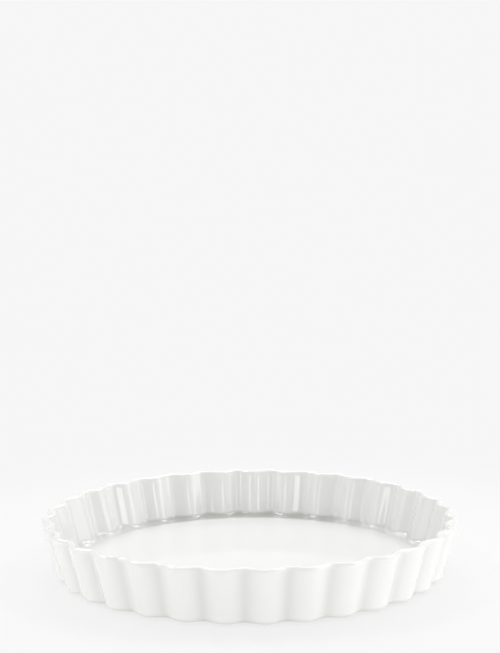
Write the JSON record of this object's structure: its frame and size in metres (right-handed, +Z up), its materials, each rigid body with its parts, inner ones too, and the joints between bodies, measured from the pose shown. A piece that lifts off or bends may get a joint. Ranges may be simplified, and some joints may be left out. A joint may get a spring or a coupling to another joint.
{
  "type": "pie dish",
  "caption": "Round shallow pie dish in white glazed porcelain, with a fluted wall that flares to a plain rounded rim, a flat floor and a low unglazed foot ring.",
  "frame": {"origin": "centre of the foot ring, on the plane that the dish stands on", "axes": "+Z up along the dish's axis, +X and +Y each through the crest of a flute"},
  "size_m": [0.28, 0.28, 0.0375],
  "materials": {
    "bare_porcelain": "fired unglazed porcelain, fine matte",
    "white_glaze": "white gloss glaze"
  },
  "bodies": {
    "root": {"porcelain_body": "bare_porcelain", "glaze_coat": "white_glaze", "base_glaze": "white_glaze"}
  },
  "joints": []
}
